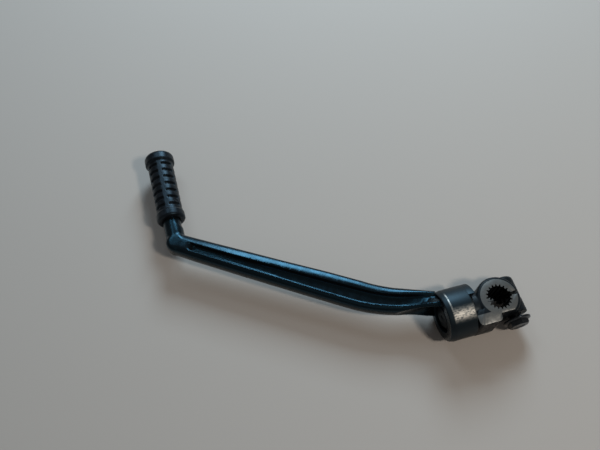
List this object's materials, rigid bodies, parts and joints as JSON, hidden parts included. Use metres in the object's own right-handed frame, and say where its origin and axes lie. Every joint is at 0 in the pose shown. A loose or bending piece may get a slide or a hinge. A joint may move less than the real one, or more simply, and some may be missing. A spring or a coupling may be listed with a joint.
{
  "type": "kick start lever",
  "caption": "Folding kick start lever with a splined clamp boss, a curved H-section arm on a pivot barrel, and a round peg in a ribbed rubber sleeve.",
  "frame": {"origin": "where the spline axis and the pivot axis cross", "axes": "+Z along the spline axis out of the bare machined face, +Y along the stowed peg, -X along the pivot axis towards the arm"},
  "size_m": [0.2198, 0.188, 0.033],
  "materials": {
    "boss_paint": "black paint, machined bare on the top face",
    "arm_paint": "semi-gloss black paint, rubbed on the barrel",
    "peg_rubber": "moulded black rubber",
    "bolt_steel": "dark plated steel",
    "bright_steel": "plain steel",
    "spring_steel": "oiled black spring steel",
    "seal_rubber": "smooth black rubber"
  },
  "bodies": {
    "hub": {"boss": "boss_paint", "pinch_bolt": "bolt_steel", "thrust_washer": "bright_steel", "circlip": "spring_steel", "detent_spring": "spring_steel"},
    "lever_arm": {"arm": "arm_paint", "peg_rubber": "peg_rubber", "spindle_seal": "seal_rubber"},
    "ball": {"detent_ball": "bright_steel"}
  },
  "joints": [
    {"name": "arm_fold", "type": "hinge", "parent": "hub", "child": "lever_arm", "pos_m": [-0.028, 0, 0], "axis": [-1, 0, 0], "range_deg": [0, 90]},
    {"name": "ball_slide", "type": "slide", "parent": "hub", "child": "ball", "axis": [0, 0, -1], "range_m": [0, 0.0008], "stiffness_N_per_m": 1500, "springref_m": 0.003, "deforming": ["detent_spring"]}
  ]
}
